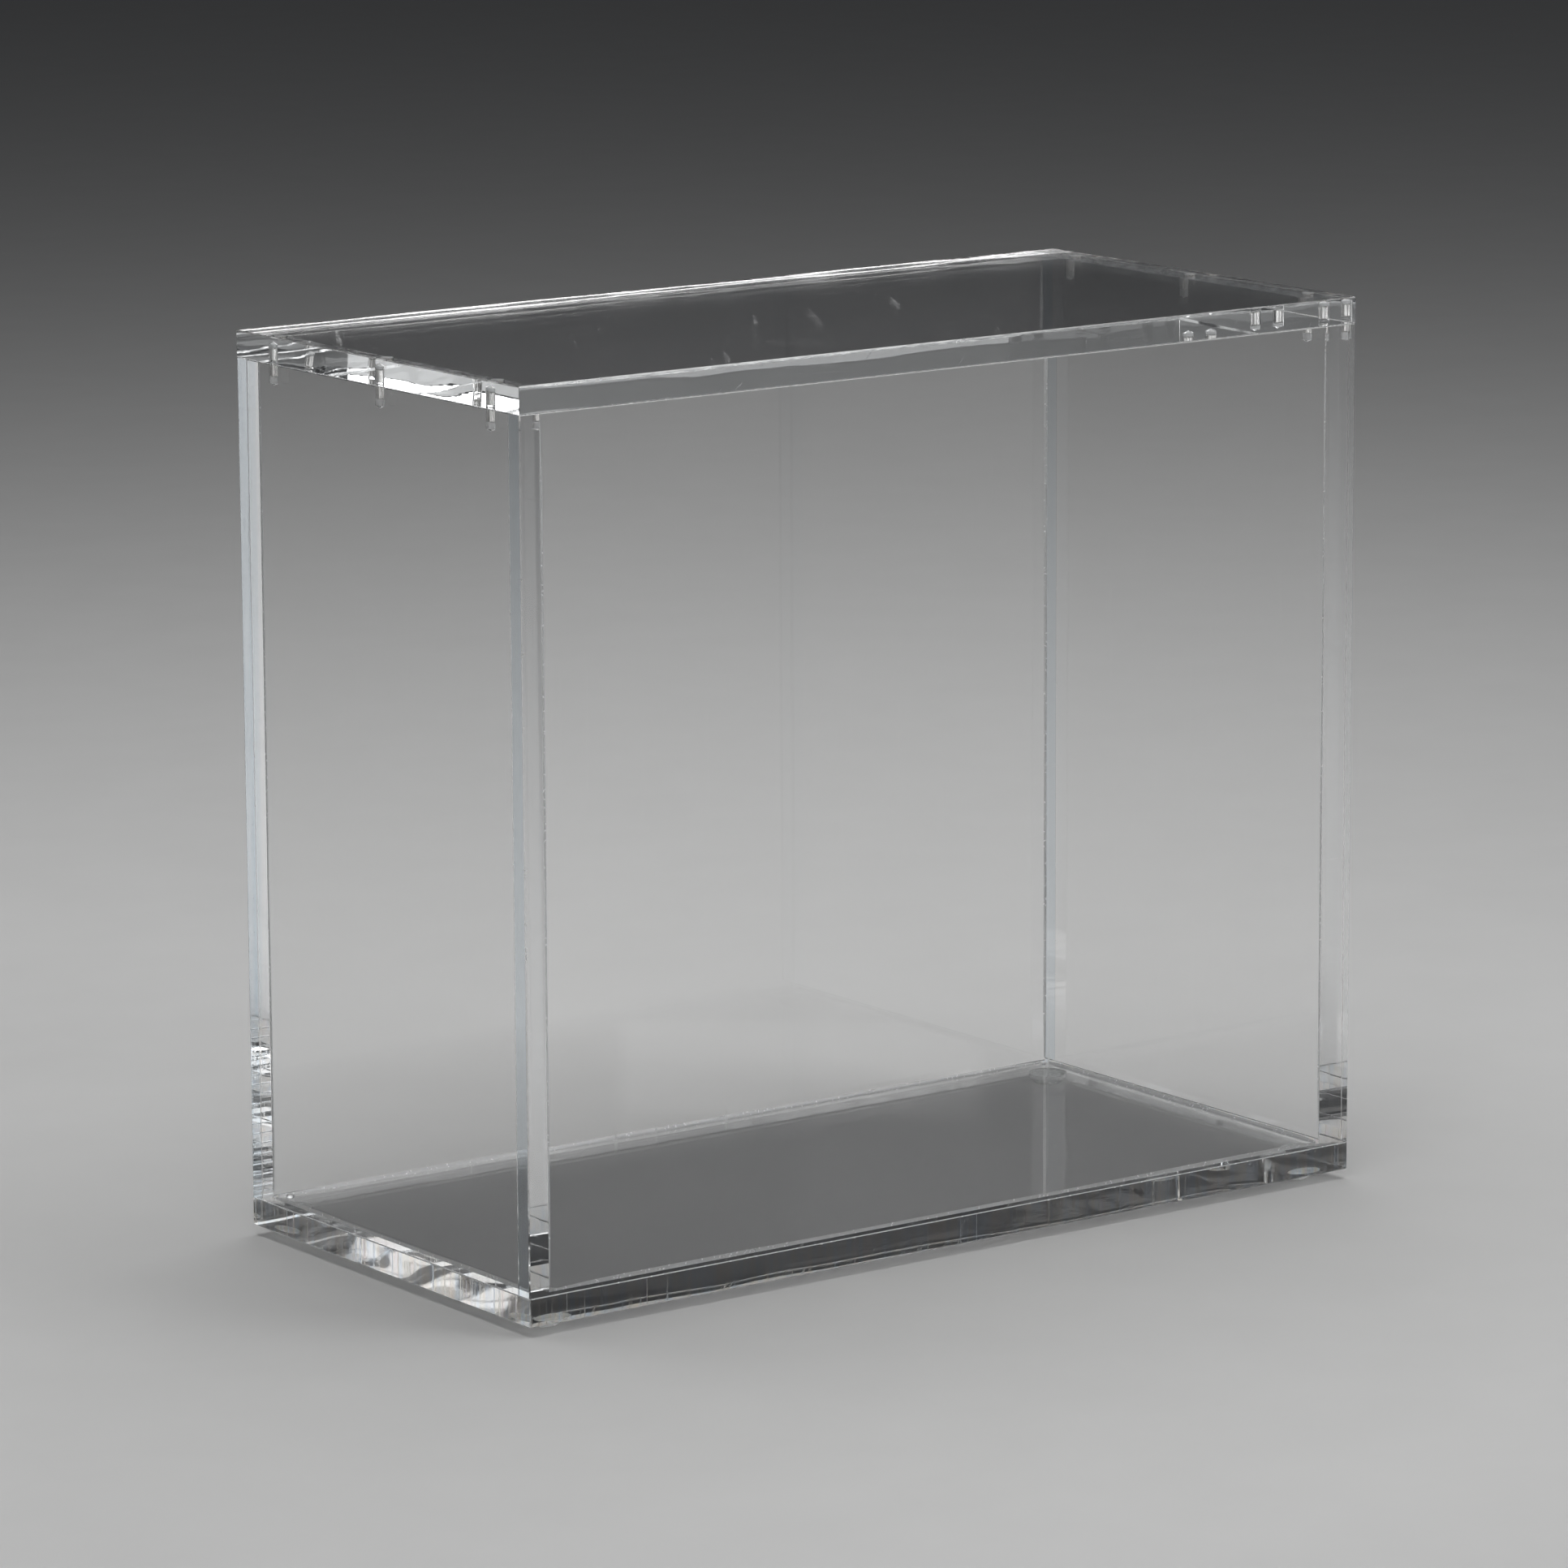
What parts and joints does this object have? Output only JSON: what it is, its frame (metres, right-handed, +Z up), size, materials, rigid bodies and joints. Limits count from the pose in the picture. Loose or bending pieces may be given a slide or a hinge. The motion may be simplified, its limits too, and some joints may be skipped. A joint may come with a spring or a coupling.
{
  "type": "acrylic display box",
  "caption": "Clear acrylic display box with a thick lift-off lid held by small magnets, bonded walls on a thick base, and clear bumper feet.",
  "frame": {"origin": "middle of the footprint, on the plane that the four feet stand on", "axes": "+X along the wide front to the right as seen from the front, +Y to the back, +Z up"},
  "size_m": [0.205, 0.099, 0.184],
  "materials": {
    "clear_acrylic": "clear colourless cast acrylic with polished edges",
    "nickel_plating": "bright nickel plating",
    "clear_bumper": "clear soft polyurethane, slightly satin"
  },
  "bodies": {
    "case": {"base_panel": "clear_acrylic", "front_wall": "clear_acrylic", "rear_wall": "clear_acrylic", "left_end_wall": "clear_acrylic", "right_end_wall": "clear_acrylic", "wall_magnet_left_front": "nickel_plating", "wall_magnet_left_mid": "nickel_plating", "wall_magnet_left_rear": "nickel_plating", "wall_magnet_right_front": "nickel_plating", "wall_magnet_right_mid": "nickel_plating", "wall_magnet_right_rear": "nickel_plating", "foot_front_left": "clear_bumper", "foot_front_right": "clear_bumper", "foot_rear_left": "clear_bumper", "foot_rear_right": "clear_bumper"},
    "lid": {"lid_panel": "clear_acrylic", "lid_magnet_left_front": "nickel_plating", "lid_magnet_left_mid": "nickel_plating", "lid_magnet_left_rear": "nickel_plating", "lid_magnet_right_front": "nickel_plating", "lid_magnet_right_mid": "nickel_plating", "lid_magnet_right_rear": "nickel_plating"}
  },
  "joints": [
    {"name": "lid_lift", "type": "slide", "parent": "case", "child": "lid", "axis": [0, 0, 1], "range_m": [0, 0.2]}
  ]
}
